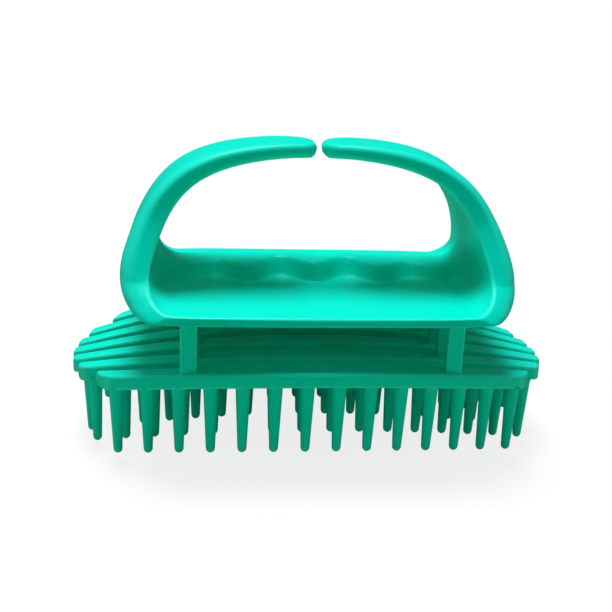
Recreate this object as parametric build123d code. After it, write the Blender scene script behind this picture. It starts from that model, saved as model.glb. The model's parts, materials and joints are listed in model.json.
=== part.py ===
from build123d import *
import math
import os

# Curry brush for grooming, moulded in flexible plastic.  Millimetres, +Z up.
# The origin is on the ground, under the middle of the brush.  The brush stands on its
# longest-reaching bristles.  +X runs along the slats, -Y is the front.

# ---- Head: seven arched slats, bowed outwards in plan ----------------------------------
row_count = 7
row_pitch = 11.15             # slat to slat at the middle of the brush
row_pitch_at_ends = 5.8       # slat to slat at the ends, where the rows close up
slat_half_length = 67.5       # half the middle slat's length
oval_half_width = 42.5        # half width of the oval on which the slats' centre lines end
end_slant = 0.45              # how far a slat's end leans with the oval: 0 is square, 1 is along it
slat_depth = 5.6              # across a slat at its middle
slat_depth_at_ends = 4.0      # across a slat at the tip of the oval
slat_thickness = 4.7
slat_edge_radius = 0.9
arch_radius = 282.0           # top of every slat, seen from the front

# ---- Bristles ---------------------------------------------------------------------------
bristle_counts = [14, 16, 18, 18, 18, 16, 14]
bristle_length = 19.1
bristle_root_radius = 1.95
bristle_tip_radius = 1.2
bristle_end_margin = 4.6      # from a slat's end to its last bristle

# ---- Posts: two under the handle for each slat --------------------------------------------
post_spacing = 68.7           # left post to right post
post_width = 4.3              # along X
post_depth = 3.0              # along Y
post_height = 11.6            # from the top of a slat at its middle to the base
post_clearance = 0.3          # rounded post head to the underside of the base

# ---- Handle base: a tray that curls up into the arms ---------------------------------------
base_thickness = 2.5
base_half_depth = 34.7
corner_share = 0.5764         # corners seen from above, as a share of the half depth
base_edge_radius = 0.8

# ---- Arms -----------------------------------------------------------------------------------
root_x = 48.3                 # hinge line of an arm: the middle of the band's wall
outer_curl_radius = 8.6       # from the base's underside up to the hinge line
root_wall = 8.8               # wall of the band at the hinge line
root_depth_share = 0.7925     # depth of the band at the hinge line, as a share of the base's
knuckle_clearance = 0.3
arm_tip_gap = 1.5             # between the two tips, at rest
arm_rise = 30.4               # hinge line to the middle of the wall at the tips
arm_tip_wall = 4.2
arm_tip_half_depth = 6.5
shoulder_depth_share = 0.4035 # depth of an arm at its shoulder, as a share of the base's
arm_shoulder_drop = 6.0       # below the tips, where the flare of the sides has died out
arm_bend = [(0.859, 0.92), (0.673, 0.936), (0.202, 1.07)]     # shares of reach and rise
arm_edge_radius = 1.8

# ---- Finger bar: the wavy swell on the tray --------------------------------------------------
bar_end_margin = 1.6          # from an end of the bar to the wall at the hinge line
bar_front = -2.5              # mean line of the wavy front wall
bar_back = 15.0
bar_height = 5.0
bar_arch_drop = 1.8           # how much lower the bar is at its ends
bar_wave = 2.4                # the finger ridges stand this far out of the mean line
bar_wave_pitch = 19.0         # finger ridge to finger ridge
bar_edge_radius = 2.0

# ---- Worked out from the sizes above ----------------------------------------------------------
base_half_width = root_x + root_wall / 2
base_plan_radius = corner_share * base_half_depth
root_half_depth = root_depth_share * base_half_depth
arm_shoulder_half_depth = shoulder_depth_share * base_half_depth
inner_curl_radius = outer_curl_radius - base_thickness
bar_half_length = root_x - root_wall / 2 - bar_end_margin
post_head_radius = post_depth / 2
under_radius = arch_radius - slat_thickness
tall = 400.0                  # longer than anything here, for cutting tools


def circle_drop(radius, x):
    """How far a circle of this radius has fallen away at x from its top."""
    return radius - math.sqrt(radius * radius - x * x)


# ---- Heights, built up from the ground ----------------------------------------------------------
last_bristle_drop = circle_drop(arch_radius, slat_half_length - bristle_end_margin)
slat_top = bristle_length + slat_thickness + last_bristle_drop
arch_centre_z = slat_top - arch_radius
base_underside = slat_top + post_height
base_top = base_underside + base_thickness
slat_hinge_z = base_underside - post_clearance - post_head_radius
root_z = base_underside + outer_curl_radius
arm_tip_z = root_z + arm_rise
arm_shoulder_z = arm_tip_z - arm_shoulder_drop


def row_offset(row):
    """Rows are numbered 1 (front) to row_count (back); the middle row has offset 0."""
    return row - (row_count + 1) / 2


def arc_y(middle, end, x):
    """Y at x on the arc through a middle point and its two ends, at the longest slat's ends."""
    sagitta = abs(middle - end)
    if sagitta == 0:
        return middle
    radius = (slat_half_length ** 2 + sagitta ** 2) / (2 * sagitta)
    return middle - math.copysign(circle_drop(radius, x), middle - end)


def oval_x(middle, end):
    """X at which such an arc meets the oval, found by closing in on it."""
    x = slat_half_length
    for _ in range(40):
        x = slat_half_length * math.sqrt(1 - (arc_y(middle, end, x) / oval_half_width) ** 2)
    return x


def row_y(row, x):
    """Y of a slat's centre line at x."""
    offset = row_offset(row)
    return arc_y(offset * row_pitch, offset * row_pitch_at_ends, x)


def row_half_length(row):
    """Half length of a slat's centre line inside the oval."""
    offset = row_offset(row)
    return oval_x(offset * row_pitch, offset * row_pitch_at_ends)


def disc(radius, height_of_centre, length=tall):
    """A cylinder lying along Y."""
    return Pos(0, 0, height_of_centre) * Rot(90, 0, 0) * Cylinder(radius, length)


def arch_disc(radius):
    """A cylinder about the line that every slat is arched about."""
    return disc(radius, arch_centre_z)


def prism(face, bottom, top):
    """The face, drawn in plan, carried from one height to another."""
    return extrude(Pos(0, 0, bottom) * face, amount=top - bottom)


def make_slat(row):
    """Plan strip between two arcs, its ends cut less aslant than the oval, from the arched shell."""
    centre = row_half_length(row)
    outline = []
    corners = []
    for side in (-1, 1):
        middle = row_y(row, 0) + side * slat_depth / 2
        end = row_y(row, slat_half_length) + side * slat_depth_at_ends / 2
        x = centre + end_slant * (oval_x(middle, end) - centre)
        y = arc_y(middle, end, x)
        outline.append(ThreePointArc((-x, y), (0, middle), (x, y)))
        corners.append((x, y))
    for side in (-1, 1):
        outline.append(Line(*[(side * x, y) for x, y in corners]))
    strip = make_face(outline)
    lowest = slat_top - circle_drop(arch_radius, slat_half_length) - 3 * slat_thickness
    body = prism(strip, lowest, slat_top + slat_thickness)
    body &= arch_disc(arch_radius)
    body -= arch_disc(under_radius)
    return fillet(body.edges(), slat_edge_radius)


def bristle_positions(row):
    """Evenly spaced X positions along a slat."""
    count = bristle_counts[row - 1]
    reach = row_half_length(row) - bristle_end_margin
    return [reach * (2 * step / (count - 1) - 1) for step in range(count)]


def make_bristle():
    """A tapered peg with a round tip, standing on its tip at the origin, over-long at the top."""
    top = bristle_length + slat_thickness / 2
    slope = (bristle_root_radius - bristle_tip_radius) / (bristle_length - bristle_tip_radius)
    top_radius = bristle_tip_radius + slope * (top - bristle_tip_radius)
    tip_centre = bristle_tip_radius
    quarter = CenterArc((0, tip_centre), bristle_tip_radius, 270, 90)
    side = Line((bristle_tip_radius, tip_centre), (top_radius, top))
    across = Line((top_radius, top), (0, top))
    axis = Line((0, top), (0, 0))
    profile = Plane.XZ * make_face([quarter, side, across, axis])
    return revolve(profile, Axis.Z)


def make_bristle_row(row):
    """One row of pegs, each cut off where it meets the underside of its slat."""
    peg = make_bristle()
    under = arch_disc(under_radius)
    pegs = []
    for x in bristle_positions(row):
        tip = slat_top - circle_drop(arch_radius, x) - slat_thickness - bristle_length
        placed = Pos(x, row_y(row, x), tip) * peg
        pegs.append((placed & under).solid())
    return Compound(children=pegs)


def make_post(row, side):
    """A flat post with a round head, cut off where it meets the top of its slat."""
    x = side * post_spacing / 2
    foot = slat_top - 2 * slat_thickness
    shank = Box(post_width, post_depth, slat_hinge_z - foot, align=(Align.CENTER, Align.CENTER, Align.MIN))
    head = Pos(0, 0, slat_hinge_z) * Rot(0, 90, 0) * Cylinder(post_head_radius, post_width)
    post = Pos(0, 0, foot) * shank + head
    post = Pos(x, row_y(row, x), 0) * post
    return post - arch_disc(arch_radius)


def quarter_turn(foot, end, radius):
    """The quarter circle that leaves foot level and reaches end upright."""
    turn = math.sqrt(0.5)
    side = math.copysign(1, end[0])
    middle = (foot[0] + side * radius * turn, foot[1] + radius * (1 - turn))
    return ThreePointArc(foot, middle, end)


def base_profile():
    """The base seen from the front: a flat floor with both ends curled up to the hinge lines."""
    lines = []
    for side in (1, -1):
        outer = side * base_half_width
        inner = side * (root_x - root_wall / 2)
        outer_foot = (outer - side * outer_curl_radius, base_underside)
        inner_foot = (inner - side * inner_curl_radius, base_top)
        lines.append(quarter_turn(outer_foot, (outer, root_z), outer_curl_radius))
        lines.append(quarter_turn(inner_foot, (inner, root_z), inner_curl_radius))
        lines.append(Line((outer, root_z), (inner, root_z)))
    outer_reach = base_half_width - outer_curl_radius
    inner_reach = root_x - root_wall / 2 - inner_curl_radius
    lines.append(Line((-outer_reach, base_underside), (outer_reach, base_underside)))
    lines.append(Line((-inner_reach, base_top), (inner_reach, base_top)))
    return make_face(lines)


def plan_prism():
    """The outline of the handle seen from above, from below the base to above the arms."""
    outline = RectangleRounded(2 * base_half_width, 2 * base_half_depth, base_plan_radius)
    return prism(outline, base_underside - 1, arm_tip_z + root_wall)


def make_base():
    """The front profile carried across, then cut to the plan outline and the sides' lean."""
    body = extrude(Plane.XZ * base_profile(), amount=base_half_depth, both=True)
    body &= plan_prism()
    side_points = [
        (-base_half_depth, base_underside - 1),
        (-base_half_depth, base_top),
        (-root_half_depth, root_z),
        (root_half_depth, root_z),
        (base_half_depth, base_top),
        (base_half_depth, base_underside - 1),
    ]
    sides = make_face(Polyline(*side_points, close=True))
    body &= extrude(Plane.YZ * sides, amount=tall / 2, both=True)
    for side in (-1, 1):
        body -= Pos(side * root_x, 0, 0) * disc(root_wall / 2 + knuckle_clearance, root_z)
    rim = [e for e in body.edges() if e.center().Z < base_top + 0.1 and abs(e.center().Y) > root_half_depth]
    return fillet(rim, base_edge_radius)


def make_finger_bar(base):
    """A swell with a wavy front wall, arched along X, cut off where the tray curls up."""
    steps = 24
    wave = []
    for step in range(steps + 1):
        x = bar_half_length * (2 * step / steps - 1)
        wave.append((x, bar_front - bar_wave * math.cos(2 * math.pi * x / bar_wave_pitch)))
    front = Spline(*wave)
    start = wave[0]
    end = wave[-1]
    outline = [
        front,
        Line(end, (bar_half_length, bar_back)),
        Line((bar_half_length, bar_back), (-bar_half_length, bar_back)),
        Line((-bar_half_length, bar_back), start),
    ]
    body = prism(make_face(outline), base_top, base_top + 2 * bar_height)
    arch = (bar_half_length ** 2 + bar_arch_drop ** 2) / (2 * bar_arch_drop)
    body &= disc(arch, base_top + bar_height - arch, 4 * base_half_depth)
    top_edges = body.faces().sort_by(Axis.Z)[-1].edges().filter_by(lambda e: e.length > bar_half_length)
    body = fillet(top_edges, bar_edge_radius)
    return body - base


def arm_wall(share):
    """Wall of an arm, thinning evenly from root to tip."""
    return root_wall + (arm_tip_wall - root_wall) * share ** 0.6


def arm_side_view():
    """The right arm seen from the front: its centre line, thickened by half a wall each way."""
    tip = (arm_tip_gap / 2, arm_tip_z)
    bends = [(x * root_x, root_z + z * arm_rise) for x, z in arm_bend]
    path = Bezier((root_x, root_z), *bends, tip)
    steps = 10
    outer = []
    inner = []
    for step in range(steps + 1):
        share = step / steps
        point = path @ share
        along = path % share
        across = Vector(along.Y, -along.X) if step else Vector(1, 0)
        outer.append(point + across * (arm_wall(share) / 2))
        inner.append(point - across * (arm_wall(share) / 2))
    lines = [Spline(*outer), Spline(*inner), Line(outer[0], inner[0]), Line(outer[-1], inner[-1])]
    return make_face(lines)


def arm_end_view():
    """Both flared sides of the arms, seen from the end."""
    top = arm_tip_z + root_wall
    lean = (base_half_depth - root_half_depth) / (root_z - base_top)
    first_pull = 0.3 * (arm_shoulder_z - root_z)
    lines = []
    for side in (-1, 1):
        root = (side * root_half_depth, root_z)
        pull = (side * (root_half_depth - lean * first_pull), root_z + first_pull)
        ease = (side * arm_shoulder_half_depth, root_z + 1.6 * first_pull)
        shoulder = (side * arm_shoulder_half_depth, arm_shoulder_z)
        lines.append(Bezier(root, pull, ease, shoulder))
        lines.append(Line(shoulder, (side * arm_shoulder_half_depth, top)))
        lines.append(Line(root, (side * root_half_depth, root_z - root_wall)))
    lines.append(Line((-arm_shoulder_half_depth, top), (arm_shoulder_half_depth, top)))
    low = root_z - root_wall
    lines.append(Line((-root_half_depth, low), (root_half_depth, low)))
    return make_face(lines)


def arm_top_view():
    """The right arm's taper seen from above, from its tip out to the curl of the base."""
    reach = base_half_width + 1
    wide = base_half_depth
    lines = []
    for side in (-1, 1):
        tip = (0, side * arm_tip_half_depth)
        middle = (0.45 * root_x, side * arm_tip_half_depth * 1.25)
        shoulder = (0.8 * root_x, side * arm_shoulder_half_depth)
        lines.append(Bezier(tip, middle, shoulder, (reach, side * wide)))
    lines.append(Line((0, -arm_tip_half_depth), (0, arm_tip_half_depth)))
    lines.append(Line((reach, -wide), (reach, wide)))
    return make_face(lines)


def make_arm(side):
    """Front, end and top views cut from one block, with a knuckle along the root."""
    arm = extrude(Plane.XZ * arm_side_view(), amount=base_half_depth, both=True)
    arm &= extrude(Plane.YZ * arm_end_view(), amount=tall / 2, both=True)
    arm &= prism(arm_top_view(), 0, 2 * arm_tip_z)
    long_edges = [e for e in arm.edges() if e.center().Z > root_z + 0.5]
    arm = fillet(long_edges, arm_edge_radius)
    knuckle = Pos(root_x, 0, 0) * disc(root_wall / 2, root_z, 2 * root_half_depth)
    arm += split(knuckle, bisect_by=Plane.XY.offset(root_z), keep=Keep.BOTTOM)
    arm &= plan_prism()
    if side < 0:
        arm = mirror(arm, about=Plane.YZ)
    return arm


def main():
    os.makedirs("parts", exist_ok=True)
    base = make_base()
    nodes = {"base_tray": base}
    nodes["finger_bar"] = make_finger_bar(base)
    for name, side in (("left", -1), ("right", 1)):
        nodes[name + "_arm"] = make_arm(side)
    for row in range(1, row_count + 1):
        nodes[f"slat_{row}"] = make_slat(row)
        nodes[f"bristles_{row}"] = make_bristle_row(row)
        for name, side in (("left", -1), ("right", 1)):
            nodes[f"post_{row}_{name}"] = make_post(row, side)
    for name, shape in nodes.items():
        export_step(shape, f"parts/{name}.step")


main()
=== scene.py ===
"""Grooming brush: its surfaces, finish, light and camera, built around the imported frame."""
import json
import logging
import math
from dataclasses import dataclass
from enum import Enum

import bpy
import numpy as np
from mathutils import Matrix, Vector


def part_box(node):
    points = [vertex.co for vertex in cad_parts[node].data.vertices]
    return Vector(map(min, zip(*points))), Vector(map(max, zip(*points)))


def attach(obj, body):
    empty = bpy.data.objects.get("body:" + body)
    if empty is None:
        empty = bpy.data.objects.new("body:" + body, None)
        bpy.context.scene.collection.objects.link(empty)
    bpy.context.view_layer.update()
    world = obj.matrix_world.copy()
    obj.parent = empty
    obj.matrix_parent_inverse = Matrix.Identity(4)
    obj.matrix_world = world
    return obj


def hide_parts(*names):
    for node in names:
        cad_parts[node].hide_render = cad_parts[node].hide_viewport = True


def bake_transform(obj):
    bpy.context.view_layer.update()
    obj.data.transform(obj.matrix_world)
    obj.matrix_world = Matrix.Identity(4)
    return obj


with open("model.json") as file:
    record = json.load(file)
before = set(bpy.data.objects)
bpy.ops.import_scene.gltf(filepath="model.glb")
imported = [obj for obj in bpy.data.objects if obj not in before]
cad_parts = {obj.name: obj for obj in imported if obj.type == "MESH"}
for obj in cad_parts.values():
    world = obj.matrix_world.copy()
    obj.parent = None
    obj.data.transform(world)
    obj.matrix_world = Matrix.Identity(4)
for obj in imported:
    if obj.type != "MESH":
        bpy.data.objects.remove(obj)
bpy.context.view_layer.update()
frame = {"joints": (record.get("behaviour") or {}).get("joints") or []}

MM = 0.001
# The edge mark: where edges are painted paler, as scuffing and as a painted highlight.
EDGE_ATTRIBUTE = "edge_scuff_and_sheen"
OVAL_STEPS = 40
Array = np.ndarray
log = logging.getLogger("brush")


# ---- Numbers ------------------------------------------------------------------------------------
def smooth(share: Array) -> Array:
    """Smoothstep, 3t² − 2t³, of t held between 0 and 1."""
    held = np.clip(share, 0.0, 1.0)
    return held * held * (3 - 2 * held)


def hinge_line(joint: str) -> Array:
    """A point on a joint's axis, as x, y and z in millimetres."""
    found = next(j for j in frame["joints"] if j["name"] == joint)
    return np.array(found["pos_m"]) / MM


def corners(node: str) -> tuple[Array, Array]:
    """Lowest and highest corner of a CAD node, in millimetres."""
    low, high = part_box(node)
    return np.array(low) / MM, np.array(high) / MM


def bezier(controls: Array, share: Array) -> Array:
    """A Bezier curve: the sum of each control point times its Bernstein weight.

    Args:
        controls: control points, one a row.
        share: places along the curve from 0 to 1, in an array of any shape.

    Returns:
        One point for each share, on a new last axis.
    """
    degree = len(controls) - 1
    power = np.arange(degree + 1)
    counts = np.array([math.comb(degree, k) for k in power])
    t = np.asarray(share, float)[..., None]
    return (counts * t**power * (1 - t) ** (degree - power)) @ np.asarray(controls, float)


@dataclass(frozen=True)
class Taper:
    """A size that changes along a path, given at a few places and smooth between them.

    Between two places the size follows a cubic whose slope at each place is the harmonic mean
    of the slopes on both sides, or level where they differ in sign, so that it never overshoots.
    """

    knots: tuple[tuple[float, float], ...]

    def at(self, where: Array | float) -> Array:
        """The size at a place or at each place of an array.

        Args:
            where: places along the path; one beyond an end counts as that end.

        Returns:
            The sizes, in the shape of the places.
        """
        x, y = np.array(self.knots, float).T
        steps = np.diff(x)
        chords = np.diff(y) / steps
        slopes = np.zeros_like(x)
        product = chords[:-1] * chords[1:]
        total = chords[:-1] + chords[1:]
        same_way = product > 0
        slopes[1:-1] = np.where(same_way, 2 * product / np.where(same_way, total, 1.0), 0.0)
        held = np.clip(where, x[0], x[-1])
        k = np.clip(np.searchsorted(x, held, side="right") - 1, 0, len(x) - 2)
        h = steps[k]
        t = (held - x[k]) / h
        rise = smooth(t)
        bow = h * slopes[k] * t * (1 - t) ** 2 - h * slopes[k + 1] * t**2 * (1 - t)
        return y[k] * (1 - rise) + y[k + 1] * rise + bow


# ---- Meshes -------------------------------------------------------------------------------------
@dataclass
class Skin:
    """One closed surface or several: points in millimetres, faces and each point's scuffing and
    painted highlight.
    """

    points: Array
    quads: Array
    triangles: Array
    edges: Array
    normals: Array | None = None

    def facing_out(self) -> "Skin":
        """Turns every face over if the enclosed volume comes out negative.

        Returns:
            The same skin.
        """
        a, b, c = (self.points[self.triangles_all()[:, k]] for k in range(3))
        if np.einsum("ij,ij->i", a, np.cross(b, c)).sum() < 0:
            self.quads = self.quads[:, ::-1]
            self.triangles = self.triangles[:, ::-1]
            if self.normals is not None:
                self.normals = -self.normals
        return self

    def triangles_all(self) -> Array:
        """Every face as triangles, quads cut along one diagonal."""
        q = self.quads
        return np.concatenate([q[:, [0, 1, 2]], q[:, [0, 2, 3]], self.triangles])


def area_normals(points: Array, faces: Array) -> Array:
    """Point normals as the sum of the normals of the faces around, each weighted by its area.

    Wide flat faces then keep their own direction right up to a rounded edge.

    Args:
        points: the points, one a row.
        faces: triangles as rows of point numbers.

    Returns:
        A unit normal for each point.
    """
    a, b, c = (points[faces[:, k]] for k in range(3))
    cross = np.cross(b - a, c - a)
    total = np.zeros_like(points)
    for k in range(3):
        np.add.at(total, faces[:, k], cross)
    return total / np.maximum(np.linalg.norm(total, axis=1, keepdims=True), 1e-12)


def closed_tube(rows: Array, edges: Array, normals: Array | None = None) -> Skin:
    """Skins a grid that is closed round each row, and closes both ends with a fan to their middles.

    Args:
        rows: points as (copies, rows, columns, 3), or (rows, columns, 3) for one tube.
        edges: how much scuffing and painted highlight each point takes, from 0 to 1, in the same
            shape without the last axis.
        normals: point normals in the shape of rows, where they are known already.

    Returns:
        The skin, facing out.
    """
    if rows.ndim == 3:
        rows, edges = rows[None], edges[None]
        normals = None if normals is None else normals[None]
    copies, count, columns, _ = rows.shape
    middles = np.stack([rows[:, 0].mean(axis=1), rows[:, -1].mean(axis=1)], axis=1)
    points = np.concatenate([rows.reshape(copies, -1, 3), middles], axis=1)
    scuff_and_sheen = np.concatenate([edges.reshape(copies, -1), np.zeros((copies, 2))], axis=1)
    index = np.arange(count * columns).reshape(count, columns)
    after = np.roll(index, -1, axis=1)
    quads = np.stack([index[:-1], after[:-1], after[1:], index[1:]], axis=-1).reshape(-1, 4)
    first = np.full(columns, count * columns)
    fans = np.concatenate([np.stack([first, after[0], index[0]], axis=-1),
                           np.stack([first + 1, index[-1], after[-1]], axis=-1)])
    shift = (np.arange(copies) * points.shape[1])[:, None, None]
    if normals is not None:
        ends = np.stack([-normals[:, 0].mean(axis=1), normals[:, -1].mean(axis=1)], axis=1)
        normals = np.concatenate([normals.reshape(copies, -1, 3), ends], axis=1).reshape(-1, 3)
    skin = Skin(points.reshape(-1, 3), (quads[None] + shift).reshape(-1, 4),
                (fans[None] + shift).reshape(-1, 3), scuff_and_sheen.reshape(-1), normals)
    return skin.facing_out()


def make_object(name: str, skin: Skin) -> bpy.types.Object:
    """Puts a skin into a smooth-shaded mesh object at the origin.

    Args:
        name: the piece's name.
        skin: its surface, in millimetres.

    Returns:
        The new object, linked to the scene.
    """
    mesh = bpy.data.meshes.new(name)
    loops = np.concatenate([skin.quads.ravel(), skin.triangles.ravel()])
    sizes = np.concatenate([np.full(len(skin.quads), 4), np.full(len(skin.triangles), 3)])
    mesh.vertices.add(len(skin.points))
    mesh.vertices.foreach_set("co", (skin.points * MM).astype(np.float32).ravel())
    mesh.loops.add(len(loops))
    mesh.loops.foreach_set("vertex_index", loops.astype(np.int32))
    mesh.polygons.add(len(sizes))
    mesh.polygons.foreach_set("loop_start", (np.cumsum(sizes) - sizes).astype(np.int32))
    mesh.polygons.foreach_set("use_smooth", np.ones(len(sizes), bool))
    # The edge mark that the finish paints paler: scuffing and a painted highlight.
    scuff_and_sheen = mesh.attributes.new(EDGE_ATTRIBUTE, "FLOAT", "POINT")
    scuff_and_sheen.data.foreach_set("value", skin.edges.astype(np.float32))
    mesh.update()
    mesh.validate()
    normals = skin.normals
    if normals is None:
        normals = area_normals(skin.points, skin.triangles_all())
    mesh.normals_split_custom_set_from_vertices(normals.tolist())
    piece = bpy.data.objects.new(name, mesh)
    bpy.context.scene.collection.objects.link(piece)
    return piece


def rounded_loop(across: int, upright: int, turn: int) -> tuple[Array, Array]:
    """Columns of a rounded rectangle, going round it once.

    A column is a point on the core rectangle plus the radius times a direction: on a corner the
    direction turns through a right angle, and on a straight side the core point moves along.

    Args:
        across: columns inside the bottom and the top side.
        upright: columns inside the left and the right side.
        turn: steps round each corner.

    Returns:
        The core points, in shares of the core's half sizes, and the unit directions.
    """
    signs = np.array([(1, -1), (1, 1), (-1, 1), (-1, -1)], float)
    core, out = [], []
    for quarter in range(4):
        here, following = signs[quarter], signs[(quarter + 1) % 4]
        angle = math.pi / 2 * (quarter - 1) + np.linspace(0, math.pi / 2, turn + 1)
        core.append(np.tile(here, (turn + 1, 1)))
        out.append(np.stack([np.cos(angle), np.sin(angle)], axis=-1))
        inside = across if quarter % 2 else upright
        share = np.linspace(0, 1, inside + 2)[1:-1, None]
        core.append(here * (1 - share) + following * share)
        out.append(np.tile(out[-1][-1], (inside, 1)))
    return np.concatenate(core), np.concatenate(out)


# ---- Finishes -----------------------------------------------------------------------------------
class Slot(Enum):
    """The record's material slots."""

    HANDLE = "handle_moulding"
    SLAT = "slat_moulding"
    POST = "post_moulding"
    BRISTLE = "bristle_moulding"


class Wire:
    """A node's output socket that Python expressions can be written on."""

    def __init__(self, graph: "Graph", source: bpy.types.NodeSocket | None) -> None:
        """Keeps the node graph and the socket, which an output node doesn't have."""
        self.graph = graph
        self.source = source

    def _math(self, operation: str, left: object, right: object) -> "Wire":
        """Adds one Math node."""
        return self.graph.add("ShaderNodeMath", {"operation": operation}, {0: left, 1: right})

    def __add__(self, other: object) -> "Wire":
        """self + other."""
        return self._math("ADD", self, other)

    __radd__ = __add__

    def __mul__(self, other: object) -> "Wire":
        """self × other."""
        return self._math("MULTIPLY", self, other)

    __rmul__ = __mul__

    def __sub__(self, other: object) -> "Wire":
        """self − other."""
        return self._math("SUBTRACT", self, other)

    def __rsub__(self, other: object) -> "Wire":
        """other − self."""
        return self._math("SUBTRACT", other, self)

    def clamped(self) -> "Wire":
        """The value held between 0 and 1."""
        return self.graph.add("ShaderNodeClamp", {}, {"Value": self})


class Graph:
    """A material's or the world's node tree, with one method that adds any node."""

    def __init__(self, tree: bpy.types.NodeTree) -> None:
        """Empties the tree and keeps it."""
        tree.nodes.clear()
        self.tree = tree

    def add(self, kind: str, settings: dict, inputs: dict, output: int | str = 0) -> Wire:
        """Adds a node.

        Args:
            kind: the node's Blender type.
            settings: the node's properties, set before anything is linked.
            inputs: values or wires by socket name or number.
            output: the output socket that the returned wire stands for.

        Returns:
            The wire of that output.
        """
        node = self.tree.nodes.new(kind)
        for key, value in settings.items():
            setattr(node, key, value)
        for key, value in inputs.items():
            if isinstance(value, Wire):
                self.tree.links.new(value.source, node.inputs[key])
            else:
                node.inputs[key].default_value = value
        return Wire(self, node.outputs[output] if len(node.outputs) else None)

    def noise(self, place: Wire, size: float, detail: float = 2.0, roughness: float = 0.5) -> Wire:
        """Noise whose blobs are about this many metres across."""
        inputs = {"Vector": place, "Scale": 1.0 / size, "Detail": detail, "Roughness": roughness}
        return self.add("ShaderNodeTexNoise", {}, inputs)


@dataclass(frozen=True)
class SoftMoulding:
    """Flexible turquoise plastic, straight from a satin-polished mould.

    Colours are linear.  Sizes of the surface's detail are in metres.  Edges are painted paler,
    partly as scuffing and partly as a painted highlight: the paler colour's share is an edge's
    mark times a factor that runs from its least value to least plus spread with the scuff noise.
    """

    name: str
    colour: tuple[float, float, float] = (0.0, 0.80, 0.655)
    deep_colour: tuple[float, float, float] = (0.0, 0.745, 0.60)
    # Paler edge colour: scuffing, plus a painted highlight along the rounded edges.
    scuff_sheen_colour: tuple[float, float, float] = (0.03, 0.88, 0.72)
    roughness: float = 0.36
    roughness_spread: float = 0.10
    edge_polish: float = 0.08
    specular: float = 0.3
    refraction: float = 1.32
    specular_tint: tuple[float, float, float] = (0.15, 1.0, 0.85)
    scuff_sheen_least: float = 0.55
    scuff_sheen_spread: float = 0.9
    scuff_sheen_tint: float = 0.6
    cloud_size: float = 0.016
    scuff_size: float = 0.00192
    wave_size: float = 0.011
    wave_height: float = 0.00006
    grain_size: float = 0.0005
    grain_height: float = 0.00001

    def build(self) -> bpy.types.Material:
        """Makes the material: clouded colour, polished edges painted paler (scuffing and painted
        highlight), mould waviness and grain.

        Returns:
            The new material.
        """
        material = bpy.data.materials.new(self.name)
        material.use_nodes = True
        graph = Graph(material.node_tree)
        place = graph.add("ShaderNodeTexCoord", {}, {}, "Object")
        scuff_and_sheen = graph.add("ShaderNodeAttribute", {"attribute_name": EDGE_ATTRIBUTE}, {}, "Fac")
        cloud = graph.noise(place, self.cloud_size, detail=3.0)
        scuff = graph.noise(place, self.scuff_size, detail=4.0, roughness=0.6)
        grain = graph.noise(place, self.grain_size, detail=2.0)
        wave = graph.noise(place, self.wave_size, detail=1.0)
        # Paler edges: scuffing, plus a painted highlight along the rounded corners.
        scuff_sheen_share = (scuff_and_sheen * (self.scuff_sheen_least + self.scuff_sheen_spread * scuff)).clamped()
        body = self._mix(graph, cloud, self.deep_colour, self.colour)
        coloured = self._mix(graph, scuff_sheen_share * self.scuff_sheen_tint, body, self.scuff_sheen_colour)
        roughness = self.roughness + self.roughness_spread * (scuff - 0.5)
        roughness = roughness - self.edge_polish * scuff_sheen_share
        height = wave * self.wave_height + grain * self.grain_height
        bump = graph.add("ShaderNodeBump", {}, {"Strength": 1.0, "Distance": 1.0, "Height": height})
        shader = graph.add("ShaderNodeBsdfPrincipled", {}, {
            "Base Color": coloured,
            "Roughness": roughness,
            "Normal": bump,
            "Specular IOR Level": self.specular,
            "IOR": self.refraction,
            "Specular Tint": (*self.specular_tint, 1.0),
        })
        graph.add("ShaderNodeOutputMaterial", {}, {"Surface": shader})
        return material

    @staticmethod
    def _mix(graph: Graph, factor: Wire, first: object, second: object) -> Wire:
        """Mixes two colours, each a wire or three numbers, by a factor from 0 to 1."""
        inputs = {0: factor, 6: SoftMoulding._rgba(first), 7: SoftMoulding._rgba(second)}
        return graph.add("ShaderNodeMix", {"data_type": "RGBA", "blend_type": "MIX"}, inputs, 2)

    @staticmethod
    def _rgba(colour: object) -> object:
        """Adds an alpha of 1 to a plain colour and passes a wire through."""
        return colour if isinstance(colour, Wire) else (*colour, 1.0)


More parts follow.
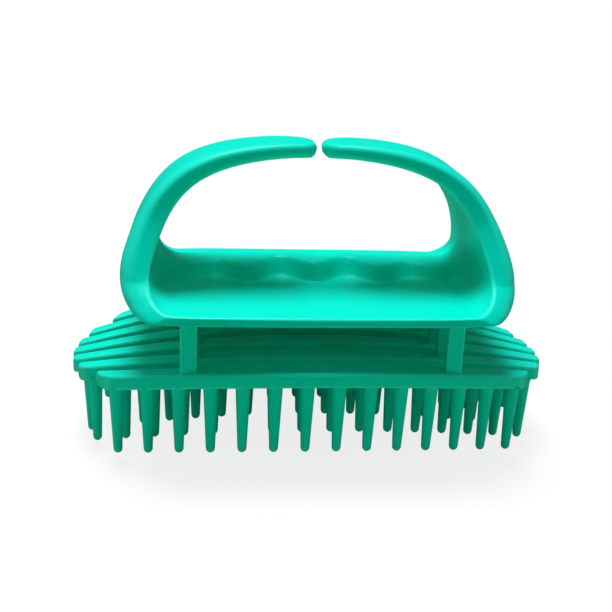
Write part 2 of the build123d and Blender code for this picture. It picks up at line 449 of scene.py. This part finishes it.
# ---- Head: slats, bristles and posts ------------------------------------------------------------
@dataclass
class Head:
    """Seven arched slats with their bristles, hung on two posts each.  Sizes in millimetres.

    Rows are numbered from 1 at the front.  Their ends lie on an oval, and end_slant is the share
    of its slant that the end of a slat takes.  slat_corner rounds an end in plan, from the share
    slat_corner_start of the way to the slat's side.  sunk is how far bristles and posts reach
    into a slat.
    """

    row_count: int = 7
    row_pitch: float = 11.15
    row_pitch_at_ends: float = 5.8
    oval_half_width: float = 42.5
    end_slant: float = 0.45
    slat_depth: float = 5.6
    slat_depth_at_ends: float = 4.0
    slat_thickness: float = 4.2
    slat_edge: float = 0.95
    slat_corner: float = 1.1
    slat_corner_start: float = 0.35
    arch_radius: float = 282.0
    bristle_counts: tuple[int, ...] = (14, 16, 18, 18, 18, 16, 14)
    bristle_root: float = 1.95
    bristle_tip: float = 1.2
    bristle_flare: float = 0.3
    bristle_flare_height: float = 0.8
    bristle_end_margin: float = 4.6
    bristle_length: float = 19.0
    bristle_side_gap: float = 0.03
    # Mark on the bristle tips: scuffing and a painted highlight.
    bristle_tip_scuff_sheen: float = 0.45
    sunk: float = 0.9
    post_half_width: float = 2.15
    post_half_depth: float = 1.5
    post_corner: float = 0.55
    post_flare: float = 0.35
    post_flare_stretch: float = 1.2
    post_head_sunk: float = 0.3

    def __post_init__(self) -> None:
        """Reads the heights and lengths that the frame gives."""
        low, high = corners(f"slat_{(self.row_count + 1) // 2}")
        self.half_length = high[0]
        self.slat_top = high[2]
        self.tray_underside = corners("base_tray")[0][2]
        post_low, post_high = corners("post_1_right")
        self.post_x = (post_low[0] + post_high[0]) / 2

    def arch(self, x: Array, depth: Array | float = 0.0) -> Array:
        """Height at x of a circle about the arch's centre, this depth below the slats' top."""
        radius = self.arch_radius - depth
        return self.slat_top - self.arch_radius + np.sqrt(radius**2 - np.asarray(x) ** 2)

    def row_line(self, row: int, x: Array, lateral: Array | float = 0.0) -> Array:
        """Y at x on a slat: an arc that is drawn in towards the middle row at its ends.

        Args:
            row: the row's number.
            x: places along the slat.
            lateral: place across the slat, from -1 on its front edge to 1 on its back edge.

        Returns:
            Y at each x: the arc through the middle and both ends, for that place across.
        """
        offset = row - (self.row_count + 1) / 2
        middle = offset * self.row_pitch + lateral * self.slat_depth / 2
        end = offset * self.row_pitch_at_ends + lateral * self.slat_depth_at_ends / 2
        sag = middle - end
        bend = 2 * sag / (self.half_length**2 + sag**2)
        return middle - bend * x**2 / (1 + np.sqrt(1 - (bend * x) ** 2))

    def row_end(self, row: int, lateral: Array | float = 0.0) -> Array:
        """X at which a slat meets the oval outline, closed in on step by step.

        Args:
            row: the row's number.
            lateral: place across the slat, from -1 to 1.

        Returns:
            X in the shape of lateral.
        """
        x = np.full(np.shape(lateral), self.half_length)
        for _ in range(OVAL_STEPS):
            y = self.row_line(row, x, lateral)
            x = self.half_length * np.sqrt(1 - (y / self.oval_half_width) ** 2)
        return x

    def half_depth(self, row: int, x: Array) -> Array:
        """Half the slat's depth at x."""
        return (self.row_line(row, x, 1.0) - self.row_line(row, x, -1.0)) / 2

    def slat_skin(self, row: int) -> Skin:
        """A bent bar whose every edge is rounded.

        Rows run from one end to the other: rings that open from the middle of the end face to its
        rim, a quarter turn round the rim, the length, and the same again.  A point lies at x, at a
        place across the slat that the rounding offsets by its radius, and below the top by its
        depth; x stops short of the oval by the rounding, and a little more at the corners in plan.

        Args:
            row: the row's number.

        Returns:
            The slat's skin.
        """
        r, runs = self.slat_edge, 72
        core, out = rounded_loop(across=7, upright=3, turn=4)
        fill = np.array([0.12, 0.55])
        quarter = np.linspace(0, math.pi / 2, 6)
        opening = np.concatenate([fill, np.ones(len(quarter))])
        turned = np.concatenate([np.zeros(len(fill)), quarter])
        along = np.concatenate([np.full(len(opening), 1.0), np.linspace(1, -1, runs)[1:-1],
                                np.full(len(opening), -1.0)])
        opening = np.concatenate([opening, np.ones(runs - 2), opening[::-1]])[:, None]
        turned = np.concatenate([turned, np.full(runs - 2, math.pi / 2), turned[::-1]])[:, None]
        depth_here = self.half_depth(row, along * self.row_end(row))[:, None]
        reach = r * np.sin(turned)
        lateral = opening * core[:, 0] * (depth_here - r) + reach * out[:, 0]
        below = self.slat_thickness / 2 - opening * core[:, 1] * (self.slat_thickness / 2 - r)
        below = below - reach * out[:, 1]
        place = np.clip(lateral / depth_here, -1.0, 1.0)
        middle = self.row_end(row)
        limit = middle + self.end_slant * (self.row_end(row, place) - middle)
        start = self.slat_corner_start
        corner = np.clip((np.abs(place) - start) / (1 - start), 0, 1)
        drawn_in = self.slat_corner * (1 - np.sqrt(1 - corner**2))
        stop = limit - drawn_in - r * (1 - np.cos(turned)) * (np.abs(along[:, None]) == 1)
        stop = np.where(np.abs(along[:, None]) == 1, stop, limit - drawn_in - r)
        x = along[:, None] * stop
        points = np.stack([x, self.row_line(row, x, place), self.arch(x, below)], axis=-1)
        # Edge mark on the rounded edges: scuffing and painted highlight.
        edges = (np.abs(out[:, 0] * out[:, 1]) * 2)[None] * np.sin(turned)
        edges = np.maximum(edges, np.sin(2 * turned))
        return closed_tube(points, np.broadcast_to(edges, x.shape).copy())

    def bristle_places(self, row: int) -> Array:
        """X of each bristle, evenly spaced between the end margins."""
        reach = self.row_end(row) - self.bristle_end_margin
        return np.linspace(-reach, reach, self.bristle_counts[row - 1])

    def bristle_skin(self, row: int) -> Skin:
        """A row of round tapered pegs as surfaces of revolution.

        The profile is a quarter circle for the tip, a straight taper, a flare where the peg leaves
        the slat, and a short stretch sunk into it.  Heights are shares of the way from the tip to
        the underside of the slat, so each root follows the arch.  The flare goes no further across
        than the slat's own side.

        Args:
            row: the row's number.

        Returns:
            One skin that holds every bristle of the row.
        """
        columns = 18
        around = np.linspace(0, 2 * math.pi, columns, endpoint=False)
        length = self.bristle_length
        slope = (self.bristle_root - self.bristle_tip) / (length - self.bristle_tip)
        turn = np.linspace(0.12, 1, 5) * math.pi / 2
        tip_radius = self.bristle_tip * np.sin(turn)
        tip_height = self.bristle_tip * (1 - np.cos(turn))
        shaft_height = np.array([0.3, 0.65, 1.0]) * (length - self.bristle_flare_height)
        flare_turn = np.linspace(0, math.pi / 2, 5)[1:]
        flare_height = length - self.bristle_flare_height * (1 - np.sin(flare_turn))
        flare_out = self.bristle_flare * (1 - np.cos(flare_turn))
        height = np.concatenate([tip_height, shaft_height, flare_height, [length + self.sunk]])
        out = np.concatenate([np.zeros(len(tip_height) + len(shaft_height)), flare_out,
                              flare_out[-1:]])
        radius = self.bristle_tip + slope * np.maximum(height - self.bristle_tip, 0)
        radius[: len(tip_radius)] = tip_radius
        radius[-1] = radius[-2]
        x0 = self.bristle_places(row)[:, None, None]
        y0 = self.row_line(row, x0)
        side = self.half_depth(row, x0) - self.bristle_side_gap
        ring, flared = radius[None, :, None], out[None, :, None]
        x = x0 + (ring + flared) * np.cos(around)
        y = y0 + np.minimum(ring + flared, side) * np.sin(around)
        under = self.arch(x, self.slat_thickness)
        tip = self.arch(x0) - self.slat_thickness - length
        z = tip + (under - tip) * (height / length)[None, :, None]
        # Tips marked for scuffing and painted highlight.
        edges = np.zeros(x.shape)
        edges[:, : len(tip_radius)] = self.bristle_tip_scuff_sheen
        return closed_tube(np.stack([x, y, z], axis=-1), edges)

    def post_skin(self, row: int, side: int) -> Skin:
        """A flat column with rounded corners that flares out at its head and foot.

        The loop is a rounded rectangle.  Its core stays the same all the way up, and the flare, a
        quarter ellipse, is added to its radius near each end.  The foot follows the slat's arch.

        Args:
            row: the row's number.
            side: -1 for the left post and 1 for the right one.

        Returns:
            The post's skin.
        """
        core, out = rounded_loop(across=2, upright=2, turn=4)
        x0 = side * self.post_x
        y0 = float(self.row_line(row, np.array(float(x0))))
        flare = self.post_flare
        turn = np.linspace(0, math.pi / 2, 6)
        rise = np.concatenate([[-self.sunk], flare * (1 - np.cos(turn)) * self.post_flare_stretch])
        outward = np.concatenate([[flare], flare * (1 - np.sin(turn))])
        shank = np.linspace(0, 1, 9)[1:-1]
        share = np.concatenate([np.zeros(len(rise)), shank, np.ones(len(rise))])[:, None]
        stand = np.concatenate([rise, np.zeros(len(shank)), -rise[::-1]])[:, None]
        stand[-1] = self.post_head_sunk
        grown = np.concatenate([outward, np.zeros(len(shank)), outward[::-1]])[:, None]
        reach = self.post_corner + grown
        half = np.array([self.post_half_width, self.post_half_depth]) - self.post_corner
        x = x0 + core[:, 0] * half[0] + reach * out[:, 0]
        y = y0 + core[:, 1] * half[1] + reach * out[:, 1]
        foot = self.arch(x)
        z = foot + (self.tray_underside - foot) * share + stand
        # Edge mark on the rounded corners: scuffing and painted highlight.
        edges = np.broadcast_to(np.abs(out[:, 0] * out[:, 1]) * 2, x.shape).copy()
        return closed_tube(np.stack([x, y, z], axis=-1), edges)

    def build(self, finishes: dict[Slot, bpy.types.Material]) -> None:
        """Makes every piece of the head and lets each slat and its bristles ride on their row.

        Args:
            finishes: the materials by slot.
        """
        for row in range(1, self.row_count + 1):
            body = f"row_{row}"
            slat = make_object(f"slat_{row}_skin", self.slat_skin(row))
            bristles = make_object(f"bristles_{row}_skin", self.bristle_skin(row))
            for piece, node, slot in ((slat, f"slat_{row}", Slot.SLAT),
                                      (bristles, f"bristles_{row}", Slot.BRISTLE)):
                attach(piece, body)
                dress(piece, slot, finishes, node)
            for name, side in (("left", -1), ("right", 1)):
                node = f"post_{row}_{name}"
                post = make_object(f"{node}_skin", self.post_skin(row, side))
                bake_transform(post)
                dress(post, Slot.POST, finishes, node)


# ---- Handle: tray, finger bar and arms ----------------------------------------------------------
@dataclass
class Handle:
    """One band carried from tip to tip: an arm, the tray with its finger bar, the other arm.

    Sizes in millimetres.  Places along half the band are numbered 0 at a tip, 1 at the hinge
    line, 2 where the tray's floor begins and 3 in the middle of the floor.  The tapers hold, by
    place, half the band's depth and the reach of its rounded corners: outer_round across and
    outer_sink through the wall on the outside, inner_round on the inside.
    """

    tip_x: float = 0.75
    rise: float = 29.9
    root_wall: float = 8.1
    wall_power: float = 2.0
    root_ease: float = 5.0
    tip_wall: float = 3.8
    bends: tuple[tuple[float, float], ...] = ((0.859, 0.92), (0.673, 0.936), (0.202, 1.07))
    tip_round: float = 1.8
    nose_length: float = 5.0
    least_round: float = 0.03
    most_round_share: float = 0.45
    curl_handle: float = 0.56
    floor_thickness: float = 2.5
    half_depth: Taper = Taper(((0, 6.9), (0.19, 8.6), (0.43, 10.4), (0.66, 13.2), (0.76, 14.9),
                               (0.83, 17.0), (0.95, 21.4), (1, 23.4), (1.35, 28.0), (1.7, 31.8),
                               (2, 33.6), (2.3, 34.5), (3, 34.7)))
    outer_round: Taper = Taper(((0, 1.7), (0.3, 2.4), (0.6, 4.4), (0.8, 6.4), (1, 8.6), (1.5, 5.8),
                                (2, 2.2), (2.2, 1.0), (2.4, 0.8), (3, 0.8)))
    outer_sink: Taper = Taper(((0, 1.6), (0.3, 1.8), (0.6, 2.3), (0.8, 3.2), (1, 4.8), (1.4, 5.2),
                               (2, 2.0), (2.2, 1.0), (2.4, 0.8), (3, 0.8)))
    inner_round: Taper = Taper(((0, 1.7), (0.3, 1.4), (0.6, 1.2), (1, 1.2), (1.5, 1.1), (2, 1.0),
                                (2.3, 0.9), (3, 0.9)))
    bar_height: float = 5.0
    bar_end_drop: float = 1.4
    bar_front: float = -0.8
    bar_run: float = 4.8
    bar_cove: float = 1.35
    bar_wave: float = 3.4
    bar_foot_wave_share: float = 0.85
    bar_pitch: float = 19.0
    bar_end_sweep: float = 3.6
    bar_top_sweep_share: float = 0.9
    bar_sweep_start: float = 24.0
    bar_sweep_run: float = 12.0
    bar_foot_shift: float = 1.5
    bar_back: float = 10.0
    bar_back_run: float = 8.0
    far_slope_start: float = 17.0
    far_slope_drop: float = 1.75
    plain_y: float = -100.0
    bar_lift: float = 4.5
    blend_start: float = 57.5
    blend_end: float = 79.0

    def __post_init__(self) -> None:
        """Reads the hinge line and the floor from the frame."""
        hinge = hinge_line("right_arm_flex")
        self.root_x, self.root_z = hinge[0], hinge[2]
        self.underside = corners("base_tray")[0][2]
        self.floor = self.underside + self.floor_thickness
        self.outer_curl = self.root_z - self.underside
        self.outer_centre_x = self.root_x + self.root_wall / 2 - self.outer_curl
        self.floor_reach = self.root_x - self.root_wall / 2 - (self.root_z - self.floor)
        share = np.linspace(0, 1, 401)
        line = bezier(self.controls(), share)
        length = np.concatenate([[0], np.cumsum(np.linalg.norm(np.diff(line, axis=0), axis=1))])
        self.arm_length = length[-1]
        self.share_table = share
        self.length_table = length / length[-1]
        quarter = self.outer_curl * math.pi / 2
        self.marks = (-self.arm_length, 0.0, quarter, quarter + self.outer_centre_x)

    def size_at(self, sizes: Taper, where: Array) -> Array:
        """A size at numbered places, smooth in millimetres along the band's outer face.

        Args:
            sizes: the sizes by place number.
            where: places along the half band, one a row.

        Returns:
            The sizes as (rows, 1).
        """
        along = Taper(tuple((float(np.interp(place, range(4), self.marks)), size)
                            for place, size in sizes.knots))
        return along.at(np.interp(where, range(4), self.marks))[:, None]

    def controls(self) -> Array:
        """Control points of an arm's centre line, from the hinge line to the tip."""
        bends = [(x * self.root_x, self.root_z + z * self.rise) for x, z in self.bends]
        return np.array([(self.root_x, self.root_z), *bends, (self.tip_x, self.root_z + self.rise)])

    def arm_side(self, share: Array, side: int) -> Array:
        """The centre line moved half a wall along its normal: out for side 1, in for side -1.

        The wall thins with a power of the share that is left to the tip.  Near the hinge line the
        whole wall is eased out so that it starts upright, by its lean times the height above the
        hinge line, fading exponentially with that height.

        Args:
            share: places along the centre line, 0 at the hinge line and 1 at the tip.
            side: 1 for the outer side and -1 for the inner one.

        Returns:
            x and z on a new last axis.
        """
        controls = self.controls()
        along = bezier(np.diff(controls, axis=0), share)
        along /= np.linalg.norm(along, axis=-1, keepdims=True)
        normal = np.stack([along[..., 1], -along[..., 0]], axis=-1)
        left = np.clip(1 - share, 0, 1)
        wall = self.tip_wall + (self.root_wall - self.tip_wall) * left**self.wall_power
        line = bezier(controls, share)
        first = controls[1] - controls[0]
        up = np.maximum(line[..., 1] - self.root_z, 0)
        line[..., 0] -= first[0] / first[1] * up * np.exp(-up / self.root_ease)
        return line + side * normal * wall[..., None] / 2

    def bar_top(self, x: Array, y: Array) -> Array:
        """Height of the finger bar above the floor.

        The crest falls towards its ends as a raised cosine.  Its front climbs over a short run,
        as a smooth step raised to a power that widens its foot.  The foot's line waves with the
        finger ridges, three cosine waves wide, and sweeps forward at the ends.  Its back falls
        smoothly to the floor, which goes on falling to the far rim.

        Args:
            x: places along the tray.
            y: places across it, in a shape that x spreads to.

        Returns:
            The heights, below zero on the far slope.
        """
        out = np.clip(np.abs(x) / self.floor_reach, 0, 1)
        crest = self.bar_height - self.bar_end_drop * (0.5 - 0.5 * np.cos(math.pi * out))
        phase = np.clip(np.abs(x) / self.bar_pitch, 0, 1.5)
        ridge = np.cos(2 * math.pi * phase)
        sweep = self.bar_end_sweep * smooth((np.abs(x) - self.bar_sweep_start) / self.bar_sweep_run)
        top = self.bar_front + self.bar_run / 2 - self.bar_wave * ridge
        top = top - self.bar_top_sweep_share * sweep
        foot = self.bar_front - self.bar_run / 2 - self.bar_foot_wave_share * self.bar_wave * ridge
        foot = foot - sweep
        front = smooth((y - foot) / (top - foot)) ** self.bar_cove
        back = 1 - smooth((y - self.bar_back) / self.bar_back_run)
        far = smooth((y - self.far_slope_start) / (self.half_depth.at(3.0) - self.far_slope_start))
        return crest * front * back - self.far_slope_drop * far

    def inner_face(self, where: Array, x_side: int, y: Array) -> Array:
        """The band's inner face, seen from the front as (x, z), at each y.

        Down the arm it is the inner side of the wall, to a height that rises beside the finger
        bar.  Then a Bezier quarter turn leads to the floor, which carries the bar.

        Args:
            where: places along the half band, one a row.
            x_side: 1 for the right half and -1 for the left half.
            y: Y of each point, as (rows, columns).

        Returns:
            x and z as (rows, columns, 2), with x positive on both halves.
        """
        reach = self.floor_reach
        beside = self.bar_top(np.full_like(y, x_side * reach), y)
        table_share = np.linspace(0, 0.5, 200)
        table_z = self.arm_side(table_share, -1)[:, 1]
        low_share = np.interp(self.root_z + self.bar_lift * beside / self.bar_height,
                              table_z, table_share)
        length_low = np.interp(low_share, self.share_table, self.length_table)
        down = np.clip(where, 0, 1)[:, None]
        share = np.interp(1 - down + down * length_low, self.length_table, self.share_table)
        wall = self.arm_side(share, -1)
        foot_x = reach - self.bar_foot_shift * beside / self.bar_height
        foot = np.stack([foot_x, self.floor + beside], axis=-1)
        start = self.arm_side(low_share, -1)
        turn = np.clip(where - 1, 0, 1)[:, None, None]
        drop = start[..., 1] - foot[..., 1]
        across = start[..., 0] - foot_x
        second = start - np.stack([np.zeros_like(drop), self.curl_handle * drop], axis=-1)
        third = foot + np.stack([self.curl_handle * across, np.zeros_like(drop)], axis=-1)
        fillet = ((1 - turn) ** 3 * start + 3 * (1 - turn) ** 2 * turn * second
                  + 3 * (1 - turn) * turn**2 * third + turn**3 * foot)
        floor_x = foot_x * (1 - np.clip(where - 2, 0, 1)[:, None])
        floor_z = self.floor + self.bar_top(x_side * floor_x, y)
        floor = np.stack([floor_x, floor_z], axis=-1)
        step = where[:, None, None]
        return np.where(step <= 1, wall, np.where(step <= 2, fillet, floor))

    def outer_face(self, where: Array) -> Array:
        """The band's outer face: the arm's outer side, a quarter circle and a flat.

        Args:
            where: places along the half band, one a row.

        Returns:
            x and z as (rows, 2), with x positive on both halves.
        """
        share = np.interp(1 - np.clip(where, 0, 1), self.length_table, self.share_table)
        arm = self.arm_side(share, 1)
        turn = np.clip(where - 1, 0, 1)[:, None] * math.pi / 2
        curl = np.concatenate([self.outer_centre_x + self.outer_curl * np.cos(turn),
                               self.root_z - self.outer_curl * np.sin(turn)], axis=1)
        flat_x = self.outer_centre_x * (1 - np.clip(where - 2, 0, 1))
        flat = np.stack([flat_x, np.full_like(flat_x, self.underside)], axis=1)
        step = where[:, None]
        return np.where(step <= 1, arm, np.where(step <= 2, curl, flat))

    def section(self, where: Array, shrink: Array, wall: Array) -> tuple[Array, Array, Array]:
        """A loop round the band at each place.

        The loop is a rectangle with two small inner corners and two outer corners that are
        quarter ellipses, wide across and shallow through the wall.  Seen from above the tip is
        half an ellipse.

        Args:
            where: places along the half band, one a row.
            shrink: how far the two faces are drawn together, which rounds the tip off.
            wall: distance from the inner to the outer face.

        Returns:
            y, the share of the way through the wall and how much scuffing and painted highlight the
            place takes, as (rows, columns).
        """
        flat_in, flat_side, flat_out = 96, 4, 28
        shrink, wall = shrink[:, None], wall[:, None]
        nose = np.clip(1 - where * self.arm_length / self.nose_length, 0, 0.999)[:, None]
        b = self.size_at(self.half_depth, where) * np.sqrt(1 - nose**2)
        small, wide, deep = (np.maximum(self.size_at(sizes, where) - shrink, self.least_round)
                             for sizes in (self.inner_round, self.outer_round, self.outer_sink))
        small = np.minimum(small, self.most_round_share * b)
        wide = np.minimum(wide, self.most_round_share * b)
        top = wall - 2 * shrink
        across = np.linspace(-1, 1, flat_in)
        inner_turn = np.linspace(0, math.pi / 2, 6)[1:-1]
        outer_turn = np.linspace(0, math.pi / 2, 11)[1:-1]
        side = np.linspace(0, 1, flat_side + 2)
        right_y = [(b - small) + small * np.sin(inner_turn), np.repeat(b, len(side), axis=1),
                   (b - wide) + wide * np.cos(outer_turn)]
        right_n = [small * (1 - np.cos(inner_turn)), small + (top - deep - small) * side,
                   top - deep + deep * np.sin(outer_turn)]
        # Edge mark on the rounded corners: scuffing and painted highlight.
        right_scuff_sheen = [np.sin(2 * inner_turn), np.zeros(len(side)), 0.5 * np.sin(2 * outer_turn)]
        y_side, n_side = np.concatenate(right_y, axis=1), np.concatenate(right_n, axis=1)
        side_scuff_sheen = np.concatenate(right_scuff_sheen)
        back = np.linspace(1, -1, flat_out)
        y = np.concatenate([(b - small) * across, y_side, (b - wide) * back, -y_side[:, ::-1]],
                           axis=1)
        n = np.concatenate([np.zeros((len(b), flat_in)), n_side,
                            np.repeat(top, flat_out, axis=1), n_side[:, ::-1]], axis=1)
        scuff_and_sheen = np.concatenate([np.zeros(flat_in), side_scuff_sheen, np.zeros(flat_out), side_scuff_sheen[::-1]])
        return y, (n + shrink) / wall, np.repeat(scuff_and_sheen[None], len(b), axis=0)

    def half_band(self, x_side: int, where: Array, shrink: Array) -> tuple[Array, Array]:
        """One half of the band, from its tip to the middle of the tray.

        The wall is measured at plain_y, which is out in front, where the floor has no slope.

        Args:
            x_side: 1 for the right half and -1 for the left half.
            where: places along the half band, one a row.
            shrink: how far the two faces are drawn together at each place.

        Returns:
            Points and the edge mark (scuffing and painted highlight), as (rows, columns, 3) and
            (rows, columns).
        """
        outer = self.outer_face(where)
        middle = self.inner_face(where, x_side, np.full((len(where), 1), self.plain_y))[:, 0]
        wall = np.linalg.norm(outer - middle, axis=1)
        y, through, scuff_and_sheen = self.section(where, shrink, wall)
        inner = self.inner_face(where, x_side, y)
        face = inner + (outer[:, None] - inner) * through[..., None]
        return np.stack([x_side * face[..., 0], y, face[..., 1]], axis=-1), scuff_and_sheen

    def band(self) -> tuple[Array, Array, Array, int, int]:
        """The whole band from the right tip to the left one.

        Returns:
            Points, normals and the edge mark (scuffing and painted highlight) on one grid, and the
            rows at which the tray begins and ends.
        """
        tip_rows, arm_rows, curl_rows, floor_rows = 8, 84, 24, 63
        turn = np.linspace(0, math.pi / 2, tip_rows + 1)[:-1]
        tip = self.tip_round * (1 - np.cos(turn)) / self.arm_length
        arm = np.linspace(self.tip_round / self.arm_length, 1, arm_rows)
        curl = np.linspace(1, 2, curl_rows + 1)[1:]
        floor = np.linspace(2, 3, floor_rows + 1)[1:]
        where = np.concatenate([tip, arm, curl, floor])
        shrink = np.zeros(len(where))
        shrink[: len(tip)] = self.tip_round * (1 - np.sin(turn))
        right, scuff_and_sheen = self.half_band(1, where, shrink)
        left, _ = self.half_band(-1, where, shrink)
        points = np.concatenate([right, left[::-1][1:]])
        band_scuff_and_sheen = np.concatenate([scuff_and_sheen, scuff_and_sheen[::-1][1:]])
        skin = closed_tube(points, band_scuff_and_sheen)
        normals = area_normals(skin.points, skin.triangles_all())[:-2].reshape(points.shape)
        first = len(tip) + len(arm) - 1
        return points, normals, band_scuff_and_sheen, first, len(points) - 1 - first

    def build(self, finishes: dict[Slot, bpy.types.Material]) -> None:
        """Cuts the band at both hinge lines into the arms and the tray, and dresses them.

        Args:
            finishes: the materials by slot.
        """
        points, normals, band_scuff_and_sheen, first, last = self.band()
        parts = (("right_arm", slice(0, first + 1), ("right_arm",)),
                 ("tray", slice(first, last + 1), ("base_tray", "finger_bar")),
                 ("left_arm", slice(last, len(points)), ("left_arm",)))
        for name, rows, nodes in parts:
            skin = closed_tube(points[rows], band_scuff_and_sheen[rows], normals[rows])
            piece = make_object(f"{name}_skin", skin)
            if name == "tray":
                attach(piece, "handle")
            else:
                x = self.root_x * (1 if name == "right_arm" else -1) * MM
                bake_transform(piece)
            dress(piece, Slot.HANDLE, finishes, *nodes)


def dress(piece: bpy.types.Object, slot: Slot, finishes: dict[Slot, bpy.types.Material],
          *nodes: str) -> None:
    """Gives a piece its finish, logs its slot and hides the CAD nodes that it stands for.

    Args:
        piece: the object.
        slot: its material slot.
        finishes: the materials by slot.
        nodes: names of the CAD nodes that the piece replaces.
    """
    piece.data.materials.append(finishes[slot])
    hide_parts(*nodes)
    log.info("%s: %d faces, %s", piece.name, len(piece.data.polygons), slot.value)


# ---- Studio -------------------------------------------------------------------------------------
@dataclass
class Softbox:
    """A square area light that looks at the brush.  Metres and watts."""

    name: str
    place: tuple[float, float, float]
    size: float
    power: float

    def build(self, target: Vector) -> None:
        """Hangs the light and turns it to the target, a point in metres."""
        data = bpy.data.lights.new(self.name, "AREA")
        data.shape = "SQUARE"
        data.size = self.size
        data.energy = self.power
        lamp = bpy.data.objects.new(self.name, data)
        lamp.location = self.place
        lamp.rotation_euler = (target - Vector(self.place)).to_track_quat("-Z", "Y").to_euler()
        bpy.context.scene.collection.objects.link(lamp)


@dataclass
class Studio:
    """Pale floor, white surroundings, soft lights and the camera.  Metres and radians.

    The camera sees the floor as a mix of a lit surface, which keeps the shadow, and plain white.
    The white's share is floor_white at first, and grows to 1 from fade_start on.
    """

    camera_place: tuple[float, float, float] = (-0.0284, -0.2434, 0.1225)
    camera_yaw: float = 0.109
    camera_pitch: float = 0.339
    camera_roll: float = 0.043
    camera_lens: float = 53.35
    floor_size: float = 6.0
    sky_light: float = 0.19
    floor_colour: tuple[float, float, float] = (0.55, 0.55, 0.42)
    mirrored_sky: float = 0.04
    sky_colour: tuple[float, float, float] = (1.0, 1.0, 0.72)
    seen_white: float = 1.0
    lit_floor: float = 0.95
    floor_white: float = 0.82
    fade_start: float = 0.16
    fade_run: float = 0.5

    def build(self) -> None:
        """Sets up everything around the brush."""
        self.floor()
        self.world()
        target = Vector((0.0, 0.0, 0.045))
        for lamp in (Softbox("key", (-0.08, 0.185, 1.0), 0.42, 10.7),
                     Softbox("left_fill", (-0.6, 0.1, 0.7), 0.5, 0.8),
                     Softbox("right_fill", (0.7, -0.1, 0.3), 0.5, 0.3)):
            lamp.build(target)
        self.camera()

    def floor(self) -> None:
        """A wide floor that looks white, keeps the shadow, and is dim in mirrored rays."""
        half = self.floor_size / 2
        mesh = bpy.data.meshes.new("floor")
        mesh.from_pydata([(-half, -half, 0), (half, -half, 0), (half, half, 0), (-half, half, 0)],
                         [], [(0, 1, 2, 3)])
        floor = bpy.data.objects.new("floor", mesh)
        bpy.context.scene.collection.objects.link(floor)
        material = bpy.data.materials.new("pale_floor")
        material.use_nodes = True
        graph = Graph(material.node_tree)
        seen = self.ray_is(graph, "Camera")
        plain = graph.add("ShaderNodeBsdfDiffuse", {}, {"Color": (*self.floor_colour, 1)})
        bright = graph.add("ShaderNodeBsdfDiffuse", {}, {"Color": (*[self.lit_floor] * 3, 1)})
        white = graph.add("ShaderNodeEmission", {}, {"Strength": self.seen_white})
        place = graph.add("ShaderNodeTexCoord", {}, {}, "Object")
        away = graph.add("ShaderNodeVectorMath", {"operation": "LENGTH"}, {0: place}, 1)
        fade = (self.floor_white + (away - self.fade_start) * (1 / self.fade_run)).clamped()
        fade = graph.add("ShaderNodeMath", {"operation": "MAXIMUM"}, {0: fade, 1: self.floor_white})
        shown = graph.add("ShaderNodeMixShader", {}, {0: fade, 1: bright, 2: white})
        dim = graph.add("ShaderNodeEmission", {}, {"Strength": self.mirrored_sky})
        glossy = self.ray_is(graph, "Glossy")
        unseen = graph.add("ShaderNodeMixShader", {}, {0: glossy, 1: plain, 2: dim})
        surface = graph.add("ShaderNodeMixShader", {}, {0: seen, 1: unseen, 2: shown})
        graph.add("ShaderNodeOutputMaterial", {}, {"Surface": surface})
        mesh.materials.append(material)

    def world(self) -> None:
        """Even light from all round, dim in mirrored rays and plain white to the camera."""
        world = bpy.data.worlds.new("studio")
        world.use_nodes = True
        bpy.context.scene.world = world
        graph = Graph(world.node_tree)
        seen = self.ray_is(graph, "Camera")
        sky = graph.add("ShaderNodeBackground", {}, {"Color": (*self.sky_colour, 1),
                                                     "Strength": self.sky_light})
        white = graph.add("ShaderNodeBackground", {}, {"Strength": self.seen_white,
                                                       "Color": (1, 1, 1, 1)})
        dark = graph.add("ShaderNodeBackground", {}, {"Color": (*self.sky_colour, 1),
                                                      "Strength": self.mirrored_sky})
        glossy = self.ray_is(graph, "Glossy")
        around = graph.add("ShaderNodeMixShader", {}, {0: glossy, 1: sky, 2: dark})
        shown = graph.add("ShaderNodeMixShader", {}, {0: seen, 1: around, 2: white})
        graph.add("ShaderNodeOutputWorld", {}, {"Surface": shown})

    @staticmethod
    def ray_is(graph: Graph, kind: str) -> Wire:
        """1 for a ray of this kind, Camera or Glossy, else 0."""
        return graph.add("ShaderNodeLightPath", {}, {}, f"Is {kind} Ray")

    def camera(self) -> None:
        """Places the camera: turned right by its yaw, down by its pitch, then rolled."""
        data = bpy.data.cameras.new("camera")
        data.lens = self.camera_lens
        data.sensor_width = 36.0
        data.clip_start = 0.01
        camera = bpy.data.objects.new("camera", data)
        yaw = Matrix.Rotation(-self.camera_yaw, 4, "Z")
        pitch = Matrix.Rotation(math.pi / 2 - self.camera_pitch, 4, "X")
        roll = Matrix.Rotation(self.camera_roll, 4, "Z")
        camera.matrix_world = Matrix.Translation(self.camera_place) @ yaw @ pitch @ roll
        bpy.context.scene.collection.objects.link(camera)
        bpy.context.scene.camera = camera


def main() -> None:
    """Builds the studio, the handle and the head."""
    logging.basicConfig(level=logging.INFO, format="%(message)s")
    bpy.context.scene.view_settings.view_transform = "Standard"
    finishes = {slot: SoftMoulding(slot.value).build() for slot in Slot}
    Studio().build()
    Handle().build(finishes)
    Head().build(finishes)


if __name__ == "__main__":
    main()
